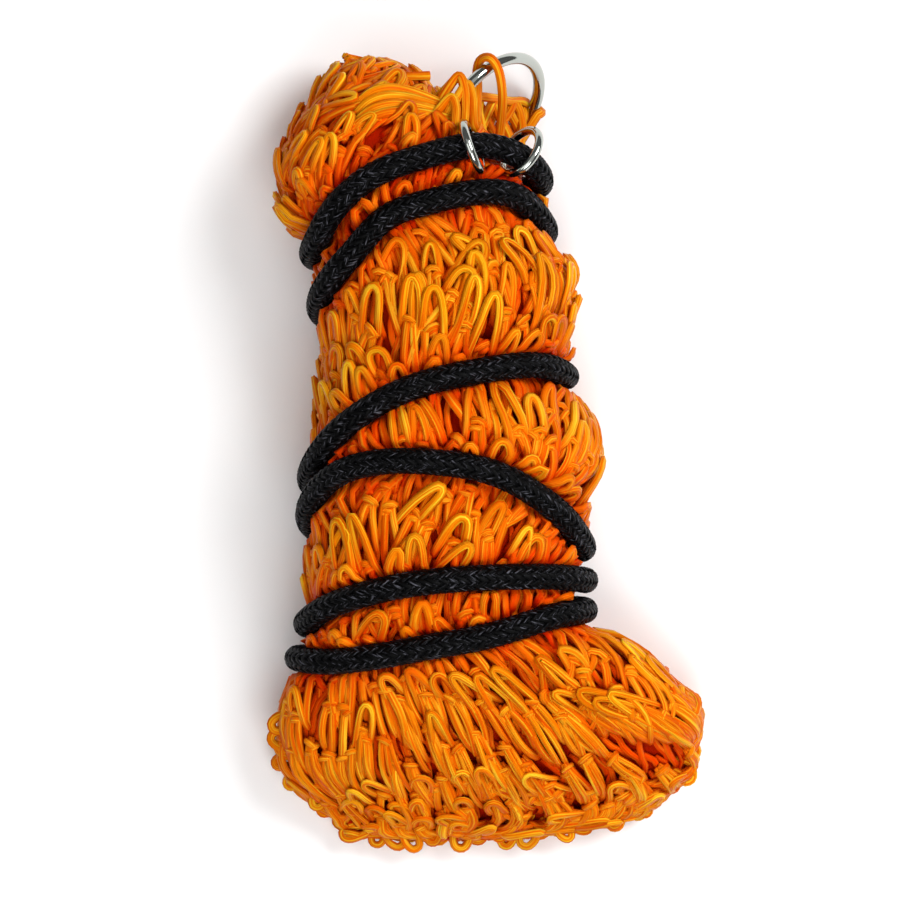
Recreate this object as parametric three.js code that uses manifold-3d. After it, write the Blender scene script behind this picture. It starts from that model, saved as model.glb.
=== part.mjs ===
// A slow feed hay net bundled for storage. The knotted twine net is bunched into a roll that lies
// on a table, its own braided drawcord is wound round it, and its end meshes hold a hanging ring.
// Millimetres. +Y runs along the bundle to its head, +Z is up from the table, the origin is on
// the table under the middle of the bundle.

import * as THREE from "three";
import { mergeVertices } from "three/addons/utils/BufferGeometryUtils.js";
import Module from "manifold-3d";

const wasm = await Module();
wasm.setup();

// Driving dimensions.
const CORD_DIAMETER = 10;
const CORD_RISE = 2.0; // how far the cord's centre stands out of the net's mean surface
const RING_LIFT = 3.0; // how much further out it stands where its rings lie under it
const RING_LIFT_ANGLE = 28; // degrees round the bundle from its right side
const RING_LIFT_SPREAD = 26;
const CORD_FLOOR_GAP = 0.5; // between the cord's underside and the table
const CORD_BEND = 2 * CORD_DIAMETER; // least radius of its bends at the bundle's lower corners
const TWINE_DIAMETER = 3.2;
const HANGING_RING = { outside: 50, wire: 4.4 };
const CORD_RING = { outside: 21.5, wire: 3.2 };
const CLEARANCE = 0.4; // between pieces that touch on the real net
const GROOVE_CLEARANCE = 0.7; // between the cord and its groove, which is faceted like the cord
const SLOT_END_ROOM = 1.2; // past the cord's two ends

// The bundle's form, one row for each cross-section from the head down to the flared skirt.
// left and right are its sides, keel its lowest and crown its highest point. A keel under 0 is
// soft net pressed flat on the table.
const SECTIONS = [
  { y: 145.0, left: -52.5, right: -44.5, keel: 20, crown: 30 },
  { y: 141.0, left: -58.0, right: -31.0, keel: 11, crown: 41 },
  { y: 135.5, left: -63.0, right: -23.5, keel: 4, crown: 49 },
  { y: 130.0, left: -66.5, right: -18.0, keel: 0, crown: 54 },
  { y: 119.0, left: -74.0, right: -1.0, keel: -4, crown: 60 },
  { y: 108.0, left: -78.5, right: 12.5, keel: -6, crown: 63 },
  { y: 97.0, left: -78.4, right: 16.5, keel: -6, crown: 63 },
  { y: 86.0, left: -73.5, right: 17.5, keel: -6, crown: 62 },
  { y: 77.0, left: -66.0, right: 21.5, keel: -6, crown: 64 },
  { y: 66.0, left: -63.0, right: 29.5, keel: -6, crown: 69 },
  { y: 52.0, left: -61.5, right: 29.5, keel: -6, crown: 71 },
  { y: 30.0, left: -61.7, right: 26.5, keel: -6, crown: 66 },
  { y: 20.0, left: -62.0, right: 28.5, keel: -6, crown: 68 },
  { y: 8.0, left: -63.0, right: 37.0, keel: -6, crown: 73 },
  { y: -5.0, left: -64.4, right: 39.6, keel: -6, crown: 74 },
  { y: -18.0, left: -66.0, right: 35.0, keel: -6, crown: 70 },
  { y: -30.0, left: -65.4, right: 32.8, keel: -6, crown: 68 },
  { y: -45.0, left: -67.0, right: 33.8, keel: -6, crown: 65 },
  { y: -61.0, left: -66.5, right: 34.5, keel: -6, crown: 60 },
  { y: -68.0, left: -67.5, right: 41.0, keel: -6, crown: 58 },
  { y: -76.0, left: -70.0, right: 57.5, keel: -6, crown: 56 },
  { y: -84.0, left: -73.0, right: 67.0, keel: -5, crown: 53 },
  { y: -95.0, left: -77.5, right: 77.5, keel: -5, crown: 48 },
  { y: -109.0, left: -78.0, right: 77.6, keel: -4, crown: 42 },
  { y: -119.0, left: -76.5, right: 75.0, keel: -3, crown: 35 },
  { y: -129.0, left: -68.0, right: 66.0, keel: -2, crown: 27 },
  { y: -137.0, left: -58.0, right: 52.0, keel: 0, crown: 20 },
  { y: -142.5, left: -50.0, right: 31.0, keel: 1, crown: 15 },
  { y: -145.5, left: -31.0, right: 2.0, keel: 2, crown: 11 },
];
const HEAD_Y = SECTIONS[0].y;
const SKIRT_Y = SECTIONS.at(-1).y;
const WIDEST_SHARE = 0.42; // how far up a section it is widest
const SIDE_ROUNDNESS = 0.85; // exponents of the section's curve: 1 is an ellipse, less is squarer
const CROWN_ROUNDNESS = 0.72;

// The bunched meshes, raised as staggered loops.
const LOOP_ROW_PITCH = 20.5;
const LOOP_COLUMNS = 26;
const LOOP_RISE = 6.0;
const LOOP_SINK = 1.5; // how far the hollows between the loops lie below the mean surface
const SMALLEST_LOOP = 0.5; // the flattest loop's share of the full rise
const LOOP_FADE_HEIGHT = 14; // the loops flatten out below this height, towards the table

// The drawcord's turns, one row each, as the cord's y where it crosses the right side, the right
// shoulder, the crown, the left shoulder and the left side, and then the middle of the underside.
const CORD_TURNS = [
  { right: 98.8, rightTop: 111.6, crown: 104.8, leftTop: 83.0, left: 72.2, under: 76.0 },
  { right: 81.6, rightTop: 94.6, crown: 89.0, leftTop: 69.0, left: 52.4, under: 40.0 },
  { right: 27.4, rightTop: 31.6, crown: 26.4, leftTop: 10.6, left: -10.4, under: -24.0 },
  { right: -36.4, rightTop: -20.4, crown: -4.8, leftTop: -6.6, left: -25.6, under: -43.0 },
  { right: -48.0, rightTop: -45.9, crown: -47.0, leftTop: -55.0, left: -64.6, under: -59.8 },
  { right: -59.0, rightTop: -60.6, crown: -69.8, leftTop: -77.2, left: -76.8, under: -81.0 },
];
const SLOT_ANGLES = { from: 212, to: 328 }; // the part of a turn that lies under the bundle
const CORD_START = { angle: -100, y: 104.0 }; // tucked under the bundle, degrees from the right side
const CORD_END = { angle: 280, y: -84.0 }; // past the last turn's right side, under the bundle too
const CORD_LAST_ANGLE = (CORD_TURNS.length - 1) * 360 + CORD_END.angle;

// Where the rings lie.
const HANGING_RING_PLACE = { x: 1.1, y: 126.3, z: 22.0, swing: 50, lean: 58 };
const CORD_RINGS = [
  { name: "cord_ring_a", angle: 56, lean: 29, swing: 19, up: -0.8 },
  { name: "cord_ring_b", angle: 30, lean: 0, swing: -8, up: 1.3 },
];

// The end meshes that hold the hanging ring, as the points that each strand passes.
const RING_MESHES = [
  [
    [-5.2, 114, 34],
    [-5.0, 126, 35.5],
    [-4.7, 134, 35.2],
    [-4.9, 140.6, 36.6],
    [-3.4, 144.2, 41.0],
    [0.2, 144.3, 44.4],
    [3.2, 139.6, 43.0],
    [4.6, 131.0, 38.0],
    [4.2, 122.0, 33.0],
    [3.2, 112.0, 28.0],
  ],
  [
    [-25.0, 124.0, 42.0],
    [-16.5, 133.0, 45.0],
    [-11.5, 137.2, 47.2],
    [-8.6, 132.0, 47.6],
    [-6.4, 122.0, 43.0],
    [-5.0, 112.0, 36.0],
  ],
  [
    [5.0, 109.0, 15.0],
    [10.5, 116.0, 12.0],
    [14.8, 122.0, 9.6],
    [18.4, 127.0, 9.6],
    [20.6, 130.4, 9.0],
    [21.2, 132.4, 5.4],
    [18.0, 132.2, 2.4],
    [13.4, 129.6, 2.6],
    [10.0, 124.6, 4.0],
    [7.6, 118.6, 6.5],
    [5.0, 113.0, 8.5],
    [2.0, 108.0, 10.0],
  ],
];

// How finely the solids are faceted.
const NET_STATIONS = 50;
const NET_SIDES = 2 * LOOP_COLUMNS; // a point on each loop's ridge and one in each hollow
const STATION_EASE = 0.55; // draws the stations closer together at both ends
const CORD_SIDES = 8;
const CORD_STEPS = 100;
const CORD_POINT_STEP = 20; // degrees round the bundle between the cord's points
const TWINE_SIDES = 8;
const TWINE_STEPS = 18;
const RING_WIRE_SIDES = 10;
const RING_STEPS = 32;

const FULL_TURN = 2 * Math.PI;
const CORD_RADIUS = CORD_DIAMETER / 2;
const CORD_FLOOR = CORD_RADIUS + CORD_FLOOR_GAP; // height of the cord's centre on the table
const radians = THREE.MathUtils.degToRad;

const netMaterial = new THREE.MeshStandardMaterial({ color: 0xf08c12, roughness: 0.5, metalness: 0 });
const cordMaterial = new THREE.MeshStandardMaterial({ color: 0x121214, roughness: 0.7, metalness: 0 });
const ringMaterial = new THREE.MeshStandardMaterial({ color: 0xc9ccce, roughness: 0.15, metalness: 1 });

// A repeatable number from 0 to 1 for a pair of whole numbers.
function scatter(i, j) {
  const wave = Math.sin(i * 127.1 + j * 311.7) * 43758.5453;
  return wave - Math.floor(wave);
}

// A smooth curve through rows of numbers. The rows' first column rises from row to row.
function smoothRows(rows) {
  const width = rows[0].length - 1;
  const at = rows.map((row) => row[0]);
  const values = rows.flatMap((row) => row.slice(1));
  return new THREE.CubicInterpolant(new Float64Array(at), new Float64Array(values), width);
}

const sectionCurve = smoothRows(
  SECTIONS.toReversed().map(({ y, left, right, keel, crown }) => [y, left, right, keel, crown]),
);

function sectionAt(y) {
  const [left, right, keel, crown] = sectionCurve.evaluate(THREE.MathUtils.clamp(y, SKIRT_Y, HEAD_Y));
  const widest = keel + WIDEST_SHARE * (crown - keel);
  return { middle: (left + right) / 2, halfWidth: (right - left) / 2, keel, crown, widest };
}

const power = (value, exponent) => Math.sign(value) * Math.abs(value) ** exponent;

// A point of the bundle's mean surface, before the table flattens it. The angle is measured in
// the cross-section from the right side over the crown to the left side.
function meanSurface(y, angle) {
  const { middle, halfWidth, keel, crown, widest } = sectionAt(y);
  const rise = Math.sin(angle) > 0 ? crown - widest : widest - keel;
  const x = middle + halfWidth * power(Math.cos(angle), SIDE_ROUNDNESS);
  return new THREE.Vector3(x, y, widest + rise * power(Math.sin(angle), CROWN_ROUNDNESS));
}

// The direction out of a cross-section's curve.
function outward(y, angle) {
  const { halfWidth, keel, crown } = sectionAt(y);
  return new THREE.Vector3(Math.cos(angle) / halfWidth, 0, (2 * Math.sin(angle)) / (crown - keel)).normalize();
}

function loopRelief(y, angle) {
  const row = (HEAD_Y - y) / LOOP_ROW_PITCH;
  const rowIndex = Math.floor(row);
  const column = (angle / FULL_TURN) * LOOP_COLUMNS + (rowIndex % 2) / 2;
  const columnIndex = Math.floor(column);
  const size = SMALLEST_LOOP + (1 - SMALLEST_LOOP) * scatter(rowIndex, columnIndex % LOOP_COLUMNS);
  const bulge = Math.sin(Math.PI * (row - rowIndex)) * Math.sin(Math.PI * (column - columnIndex));
  return LOOP_RISE * size * bulge - LOOP_SINK;
}

function stationY(step) {
  const share = step / NET_STATIONS;
  const eased = share - (STATION_EASE * Math.sin(FULL_TURN * share)) / FULL_TURN;
  return THREE.MathUtils.lerp(HEAD_Y, SKIRT_Y, eased);
}

// A point of the net's surface with its raised loops, resting on the table.
function netPoint(step, side) {
  const y = stationY(step);
  const angle = (side / NET_SIDES) * FULL_TURN;
  const point = meanSurface(y, angle);
  const fade = THREE.MathUtils.smoothstep(point.z, 0, LOOP_FADE_HEIGHT);
  point.addScaledVector(outward(y, angle), fade * loopRelief(y, angle));
  point.z = Math.max(point.z, 0);
  return point;
}

// The bunched net as a closed skin: rings of points from head to skirt, and a seam strip that
// joins front to back at both ends.
function bunchedNet() {
  const points = [];
  for (let step = 0; step <= NET_STATIONS; step++) {
    for (let side = 0; side < NET_SIDES; side++) {
      points.push(netPoint(step, side));
    }
  }
  const index = [];
  const quad = (a, b, c, d) => index.push(a, b, c, a, c, d);
  const at = (step, side) => step * NET_SIDES + (side % NET_SIDES);
  for (let step = 0; step < NET_STATIONS; step++) {
    for (let side = 0; side < NET_SIDES; side++) {
      quad(at(step, side), at(step, side + 1), at(step + 1, side + 1), at(step + 1, side));
    }
  }
  for (let side = 0; side < NET_SIDES / 2; side++) {
    const back = NET_SIDES - side;
    quad(at(0, side), at(0, back), at(0, back - 1), at(0, side + 1));
    quad(at(NET_STATIONS, side + 1), at(NET_STATIONS, back - 1), at(NET_STATIONS, back), at(NET_STATIONS, side));
  }
  return new THREE.BufferGeometry().setFromPoints(points).setIndex(index);
}

// The cord's y against its angle round the bundle, from its tucked start to its tucked end.
const cordCurve = smoothRows([
  [CORD_START.angle, CORD_START.y],
  ...CORD_TURNS.flatMap(({ right, rightTop, crown, leftTop, left, under }, turn) => [
    [turn * 360, right],
    [turn * 360 + 45, rightTop],
    [turn * 360 + 90, crown],
    [turn * 360 + 135, leftTop],
    [turn * 360 + 180, left],
    [turn * 360 + 270, under],
  ]),
  [CORD_LAST_ANGLE, CORD_END.y],
]);

// The cord's centre at an angle in degrees. Above the bundle's sides it lies on the net, and over
// the rings that lie between the two. Below them it bends in and runs flat along the table.
function cordPoint(degrees) {
  const [y] = cordCurve.evaluate(degrees);
  const { middle, halfWidth, widest } = sectionAt(y);
  const turned = THREE.MathUtils.euclideanModulo(degrees, 360);
  const rise = CORD_RISE + RING_LIFT * Math.exp(-(((degrees - RING_LIFT_ANGLE) / RING_LIFT_SPREAD) ** 2));
  const bend = Math.max(widest - CORD_FLOOR, CORD_BEND);
  if (turned <= 180) {
    const angle = radians(turned);
    const point = meanSurface(y, angle).addScaledVector(outward(y, angle), rise);
    point.z = Math.max(point.z, CORD_FLOOR + bend);
    return point;
  }
  const sideways = (turned - 270) / 90; // from -1 at the left side to 1 at the right
  const corner = Math.PI * Math.max(Math.abs(sideways) - 0.5, 0);
  const flatRun = Math.min(2 * Math.abs(sideways), 1) * (halfWidth + rise - bend);
  const x = middle + Math.sign(sideways) * (flatRun + bend * Math.sin(corner));
  return new THREE.Vector3(x, y, CORD_FLOOR + bend * (1 - Math.cos(corner)));
}

function cordRoute() {
  const points = [];
  for (let degrees = CORD_START.angle; degrees <= CORD_LAST_ANGLE; degrees += CORD_POINT_STEP) {
    points.push(cordPoint(degrees));
  }
  return new THREE.CatmullRomCurve3(points, false, "centripetal");
}

// The slot that the cord's straight run under a turn presses into the net, with room at its ends.
function cordSlot(turn) {
  const from = cordPoint(Math.max(turn * 360 + SLOT_ANGLES.from, CORD_START.angle));
  const to = cordPoint(Math.min(turn * 360 + SLOT_ANGLES.to, CORD_LAST_ANGLE));
  const run = to.clone().sub(from);
  const length = Math.hypot(run.x, run.y) + 2 * SLOT_END_ROOM;
  const width = CORD_DIAMETER + 2 * GROOVE_CLEARANCE;
  const height = CORD_FLOOR + width / 2;
  const slot = new THREE.BoxGeometry(length, width, 2 * height);
  slot.rotateZ(Math.atan2(run.y, run.x));
  return slot.translate((from.x + to.x) / 2, (from.y + to.y) / 2, 0);
}

function tube(route, radius, sides, steps) {
  const section = new THREE.Shape();
  for (let side = 0; side < sides; side++) {
    const angle = (side / sides) * FULL_TURN;
    const move = side === 0 ? "moveTo" : "lineTo";
    section[move](radius * Math.cos(angle), radius * Math.sin(angle));
  }
  return new THREE.ExtrudeGeometry(section, { steps, bevelEnabled: false, extrudePath: route });
}

function twine(points, radius) {
  const route = new THREE.CatmullRomCurve3(points.map((point) => new THREE.Vector3(...point)));
  return tube(route, radius, TWINE_SIDES, TWINE_STEPS);
}

// A ring, or with a margin the room that it takes in its neighbours.
function ring({ outside, wire }, margin = 0) {
  const wireRadius = wire / 2;
  return new THREE.TorusGeometry(outside / 2 - wireRadius, wireRadius + margin, RING_WIRE_SIDES, RING_STEPS);
}

// The hanging ring's pose: it swings about the upright, then leans on its long axis.
function hangingRingMatrix() {
  const { x, y, z, swing, lean } = HANGING_RING_PLACE;
  const turned = new THREE.Matrix4().makeRotationZ(radians(swing));
  const leaning = new THREE.Matrix4().makeRotationX(radians(lean));
  return new THREE.Matrix4().makeTranslation(x, y, z).multiply(turned).multiply(leaning);
}

// A small ring's pose: round the cord, leaning along it, swung on the bundle's surface and slid a
// little up the bundle.
function cordRingMatrix({ angle, lean, swing, up }) {
  const centre = cordPoint(angle);
  const along = cordPoint(angle + 1).sub(cordPoint(angle - 1)).normalize();
  const out = outward(centre.y, radians(angle));
  const across = new THREE.Vector3().crossVectors(out, along).normalize();
  const axis = along.clone().applyAxisAngle(across, radians(lean)).applyAxisAngle(out, radians(swing));
  centre.y += up;
  const turn = new THREE.Quaternion().setFromUnitVectors(new THREE.Vector3(0, 0, 1), axis);
  return new THREE.Matrix4().compose(centre, turn, new THREE.Vector3(1, 1, 1));
}

// A closed geometry as a solid that can be joined and cut.
function solidOf(geometry) {
  const bare = geometry.clone();
  bare.deleteAttribute("normal");
  bare.deleteAttribute("uv");
  const merged = mergeVertices(bare);
  const mesh = new wasm.Mesh({
    numProp: 3,
    vertProperties: merged.attributes.position.array,
    triVerts: new Uint32Array(merged.index.array),
  });
  return new wasm.Manifold(mesh);
}

function geometryOf(solid) {
  const { vertProperties, triVerts } = solid.getMesh();
  const geometry = new THREE.BufferGeometry();
  geometry.setAttribute("position", new THREE.BufferAttribute(vertProperties, 3));
  return geometry.setIndex(new THREE.BufferAttribute(triVerts, 1));
}

const cordPath = cordRoute();
const ringPoses = [
  { name: "hanging_ring", size: HANGING_RING, pose: hangingRingMatrix() },
  ...CORD_RINGS.map((place) => ({ name: place.name, size: CORD_RING, pose: cordRingMatrix(place) })),
];

// The whole net: the bunched body with the end meshes joined to it, giving way to cord and rings.
function netSolid() {
  let net = solidOf(bunchedNet());
  for (const points of RING_MESHES) {
    net = net.add(solidOf(twine(points, TWINE_DIAMETER / 2)));
  }
  net = net.subtract(solidOf(tube(cordPath, CORD_RADIUS + GROOVE_CLEARANCE, CORD_SIDES, CORD_STEPS)));
  for (let turn = -1; turn < CORD_TURNS.length; turn++) {
    net = net.subtract(solidOf(cordSlot(turn)));
  }
  for (const { size, pose } of ringPoses) {
    net = net.subtract(solidOf(ring(size, CLEARANCE).applyMatrix4(pose)));
  }
  const [body] = net.decompose().sort((a, b) => b.volume() - a.volume());
  return geometryOf(body);
}

function piece(name, geometry, material) {
  const mesh = new THREE.Mesh(geometry, material);
  mesh.name = name;
  return mesh;
}

const hayNet = new THREE.Group();
hayNet.add(piece("net", netSolid(), netMaterial));
hayNet.add(piece("drawcord", tube(cordPath, CORD_RADIUS, CORD_SIDES, CORD_STEPS), cordMaterial));
for (const { name, size, pose } of ringPoses) {
  const mesh = piece(name, ring(size), ringMaterial);
  mesh.applyMatrix4(pose);
  hayNet.add(mesh);
}

export default hayNet;
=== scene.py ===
"""Looks of a bundled slow feed hay net: looped twine, knots, braided cord, rings and a plain stage.

Laid out as an add-on and run as a script. The tables are in millimetres, as in the part's source,
and turn to metres where a mesh is made.
"""

import math
from typing import NamedTuple

import bmesh
import bpy
import numpy as np
from bpy.props import FloatProperty, FloatVectorProperty, IntProperty, PointerProperty
from mathutils import Matrix, Quaternion, Vector


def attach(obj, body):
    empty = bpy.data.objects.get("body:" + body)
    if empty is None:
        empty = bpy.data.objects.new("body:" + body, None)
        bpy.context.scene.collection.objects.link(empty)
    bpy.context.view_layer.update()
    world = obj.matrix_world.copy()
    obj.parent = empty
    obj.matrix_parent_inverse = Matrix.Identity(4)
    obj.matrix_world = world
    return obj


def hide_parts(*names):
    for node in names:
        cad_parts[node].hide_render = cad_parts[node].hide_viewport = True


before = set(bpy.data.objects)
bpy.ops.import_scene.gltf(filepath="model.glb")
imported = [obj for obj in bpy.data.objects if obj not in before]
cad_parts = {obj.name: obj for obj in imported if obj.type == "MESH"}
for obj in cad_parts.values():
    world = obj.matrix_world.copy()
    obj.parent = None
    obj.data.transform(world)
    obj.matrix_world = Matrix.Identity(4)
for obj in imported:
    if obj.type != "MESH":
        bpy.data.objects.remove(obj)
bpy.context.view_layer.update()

bl_info = {
    "name": "Bundled hay net",
    "version": (1, 0, 0),
    "blender": (4, 5, 0),
    "location": "3D View > Sidebar > Hay net",
    "description": "Dresses the packed solids of a bundled slow feed hay net",
    "category": "Object",
}

MM = 0.001

# The bundle's cross-sections from head to skirt: y, left, right, keel, crown.
SECTIONS = (
    (145.0, -52.5, -44.5, 20, 30),
    (141.0, -58.0, -31.0, 11, 41),
    (135.5, -63.0, -23.5, 4, 49),
    (130.0, -66.5, -18.0, 0, 54),
    (119.0, -74.0, -1.0, -4, 60),
    (108.0, -78.5, 12.5, -6, 63),
    (97.0, -78.4, 16.5, -6, 63),
    (86.0, -73.5, 17.5, -6, 62),
    (77.0, -66.0, 21.5, -6, 64),
    (66.0, -63.0, 29.5, -6, 69),
    (52.0, -61.5, 29.5, -6, 71),
    (30.0, -61.7, 26.5, -6, 66),
    (20.0, -62.0, 28.5, -6, 68),
    (8.0, -63.0, 37.0, -6, 73),
    (-5.0, -64.4, 39.6, -6, 74),
    (-18.0, -66.0, 35.0, -6, 70),
    (-30.0, -65.4, 32.8, -6, 68),
    (-45.0, -67.0, 33.8, -6, 65),
    (-61.0, -66.5, 34.5, -6, 60),
    (-68.0, -67.5, 41.0, -6, 58),
    (-76.0, -70.0, 57.5, -6, 56),
    (-84.0, -73.0, 67.0, -5, 53),
    (-95.0, -77.5, 77.5, -5, 48),
    (-109.0, -78.0, 77.6, -4, 42),
    (-119.0, -76.5, 75.0, -3, 35),
    (-129.0, -68.0, 66.0, -2, 27),
    (-137.0, -58.0, 52.0, 0, 20),
    (-142.5, -50.0, 31.0, 1, 15),
    (-145.5, -31.0, 2.0, 2, 11),
)
HEAD_Y = SECTIONS[0][0]
SKIRT_Y = SECTIONS[-1][0]
WIDEST_SHARE = 0.42
SIDE_ROUNDNESS = 0.85
CROWN_ROUNDNESS = 0.72

# The cord's turns: its y at the right side, right shoulder, crown, left shoulder, left side and
# under the bundle.
CORD_TURNS = (
    (98.8, 111.6, 104.8, 83.0, 72.2, 76.0),
    (81.6, 94.6, 89.0, 69.0, 52.4, 40.0),
    (27.4, 31.6, 26.4, 10.6, -10.4, -24.0),
    (-36.4, -20.4, -4.8, -6.6, -25.6, -43.0),
    (-48.0, -45.9, -47.0, -55.0, -64.6, -59.8),
    (-59.0, -60.6, -69.8, -77.2, -76.8, -81.0),
)
CORD_TURN_ANGLES = (0, 45, 90, 135, 180, 270)
CORD_START = (-100, 104.0)
CORD_END = (5 * 360 + 280, -84.0)
CORD_RISE = 2.0
CORD_FLOOR_GAP = 0.5
CORD_BEND = 20.0
RING_LIFT = 3.0
RING_LIFT_ANGLE = 28
RING_LIFT_SPREAD = 26

# Where the rings lie.
HANGING_RING_PLACE = Vector((1.1, 126.3, 22.0))
HANGING_RING_SWING = 50
HANGING_RING_LEAN = 58
# Each small ring's name, angle round the bundle, lean along the cord, swing and slide up the bundle.
CORD_RINGS = (
    ("cord_ring_a", 56, 29, 19, -0.8),
    ("cord_ring_b", 30, 0, -8, 1.3),
)

# One slack mesh of the net, which stands up from its knot as a hairpin: across, down and out.
HAIRPIN = (
    (-1.2, 3.0, -0.8),
    (-2.1, -2.5, 2.0),
    (-2.6, -8.0, 3.5),
    (-2.5, -12.6, 4.3),
    (-1.2, -15.5, 4.6),
    (0.9, -15.7, 4.6),
    (2.3, -12.8, 4.2),
    (2.9, -8.0, 3.4),
    (3.3, -1.5, 2.2),
    (3.9, 5.5, 0.7),
    (4.4, 12.0, -2.2),
)
# The same mesh where it is drawn open, point by point.
OPEN_HAIRPIN = (
    (-4.4, 6.0, -1.6),
    (-3.6, -1.0, 1.4),
    (-2.9, -7.0, 3.2),
    (-2.0, -12.4, 4.2),
    (-0.8, -15.2, 4.6),
    (0.8, -15.4, 4.6),
    (1.9, -12.6, 4.2),
    (2.9, -7.5, 3.3),
    (3.9, -1.0, 1.9),
    (4.9, 5.5, 0.4),
    (5.6, 12.0, -2.4),
)
# The two strands that run down from a knot, each to a knot of the next row.
LEGS = (
    ((-0.8, -2.0, 0.2), (-1.8, 4.0, 1.7), (-2.9, 10.5, 1.5), (-4.0, 17.0, 0.2), (-4.8, 23.0, -3.8)),
    ((0.9, -2.0, 0.2), (2.0, 4.5, 1.9), (3.0, 11.0, 1.4), (4.2, 18.0, 0.0), (4.8, 24.0, -4.0)),
)
# The three strands below a knot of the skirt, which lie side by side as a ribbon.
RIBBON = (
    (
        (-0.8, -2.5, 0.0), (-1.6, 4.0, 1.7), (-2.0, 11.0, 2.1),
        (-1.9, 18.0, 1.5), (-1.3, 24.0, 0.0), (-0.8, 29.0, -2.8),
    ),
    (
        (0.2, -2.5, 0.6), (0.3, 4.0, 2.3), (0.2, 11.0, 2.7),
        (0.4, 18.0, 2.0), (0.2, 24.5, 0.4), (0.1, 29.5, -2.8),
    ),
    (
        (0.9, -2.5, 0.0), (1.8, 4.5, 1.8), (2.2, 11.5, 2.0),
        (2.1, 18.5, 1.4), (1.4, 24.5, 0.0), (0.9, 29.5, -3.0),
    ),
)
# A slack mesh on the skirt's rim: along the rim, out past it and up.
RIM_LOOP = (
    (-1.4, -10.1, 3.4),
    (-2.3, -5.6, 2.4),
    (-2.7, -1.8, 0.8),
    (-1.6, 1.0, 0.0),
    (1.0, 1.2, 0.0),
    (2.6, -1.6, 0.7),
    (2.5, -5.6, 2.2),
    (1.8, -10.1, 3.2),
)
# A strand that runs straight down under the others.
INNER_LEG = (
    (-0.6, -13.0, -2.9),
    (0.6, -5.0, -1.9),
    (-0.3, 3.0, -1.6),
    (0.5, 11.0, -2.1),
    (0.0, 18.0, -3.3),
)
# The two wraps of a knot.
KNOT_BARS = (
    (
        (-2.5, 2.0, -1.8), (-2.7, 0.6, 1.2), (-1.3, -0.5, 2.8),
        (1.2, -0.6, 2.9), (2.7, 0.5, 1.3), (2.5, 1.8, -1.8),
    ),
    (
        (-2.0, 4.6, -1.8), (-1.9, 3.5, 1.1), (0.1, 2.4, 2.3),
        (1.6, 1.9, 2.1), (2.5, 1.9, 0.6), (2.6, 2.2, -1.6),
    ),
)
# How far the strands lean above the skirt, up to the right: y, then degrees at the left side, on the
# crown and at the right side.
LEANS = (
    (-70.0, 0, 14, 30),
    (-52.0, 0, 10, 36),
    (-30.0, 0, 6, 50),
    (-12.0, 0, 5, 42),
    (2.0, -10, 12, 22),
    (24.0, -10, 10, 24),
    (38.0, -6, 0, -12),
    (66.0, -12, 2, -26),
    (78.0, -4, 0, -10),
    (92.0, 5, 20, 26),
    (112.0, 16, 42, 50),
    (145.0, 46, 62, 68),
)
# Where the skirt's strands fan out from, how far they may lean, and where the fan begins and is full.
FAN_CENTRE = (-44.0, -38.0)
FAN_LEAN = (-56.0, 10.0)
FAN_Y = (-76.0, -92.0)

# The end meshes round the hanging ring, as the points that each strand passes.
RING_MESHES = (
    (
        (-5.2, 114, 34), (-5.0, 126, 35.5), (-4.7, 134, 35.2), (-4.9, 140.6, 36.6), (-3.4, 144.2, 41.0),
        (0.2, 144.3, 44.4), (3.2, 139.6, 43.0), (4.6, 131.0, 38.0), (4.2, 122.0, 33.0), (3.2, 112.0, 28.0),
    ),
    (
        (-25.0, 124.0, 42.0), (-16.5, 133.0, 45.0), (-11.5, 137.2, 47.2),
        (-8.6, 132.0, 47.6), (-6.4, 122.0, 43.0), (-5.0, 112.0, 36.0),
    ),
    (
        (5.0, 109.0, 15.0), (10.5, 114.6, 11.6), (13.6, 119.4, 8.6), (16.0, 123.2, 8.0), (17.6, 125.8, 7.4),
        (18.2, 127.8, 4.6), (16.4, 127.8, 1.6), (12.8, 126.0, 2.4), (10.0, 122.6, 4.0), (7.6, 117.6, 6.5),
        (5.0, 112.4, 8.5), (2.0, 108.0, 10.0),
    ),
)
# Slack meshes of the net's end that lie under and beside the hanging ring.
RING_WEB = (
    (
        (-9.0, 126.0, 38.0), (-5.0, 130.6, 34.0), (1.0, 130.9, 27.0),
        (7.5, 130.6, 15.0), (13.0, 131.0, 6.0), (17.0, 128.0, 3.0),
    ),
    ((-3.5, 131.0, 31.0), (-4.2, 126.0, 32.0), (-3.0, 119.0, 33.0), (-2.0, 112.0, 34.0)),
    ((1.6, 130.6, 25.0), (-0.6, 125.5, 28.0), (-3.2, 119.0, 31.0), (-6.0, 112.0, 33.0)),
    ((2.2, 130.4, 24.0), (3.2, 125.0, 25.0), (6.2, 119.0, 26.0), (9.0, 112.0, 26.0)),
    ((9.0, 130.4, 12.5), (7.2, 126.0, 16.0), (3.2, 120.0, 21.0), (0.6, 112.0, 26.0)),
    ((9.8, 130.2, 11.5), (11.6, 125.5, 11.5), (12.0, 119.0, 14.0), (9.0, 111.0, 19.0)),
    ((15.6, 129.4, 4.2), (13.2, 124.0, 6.0), (9.6, 118.0, 11.0), (5.0, 110.0, 17.0)),
    ((-4.0, 129.0, 26.0), (-1.6, 124.0, 25.0), (1.0, 118.0, 25.0), (3.0, 111.0, 26.0)),
    ((4.6, 129.0, 18.0), (1.0, 124.0, 22.0), (-1.0, 119.0, 24.0), (-4.0, 112.0, 28.0)),
    ((5.8, 129.0, 15.0), (8.8, 124.0, 13.0), (11.0, 119.0, 12.0), (12.0, 112.0, 14.0)),
)
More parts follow.
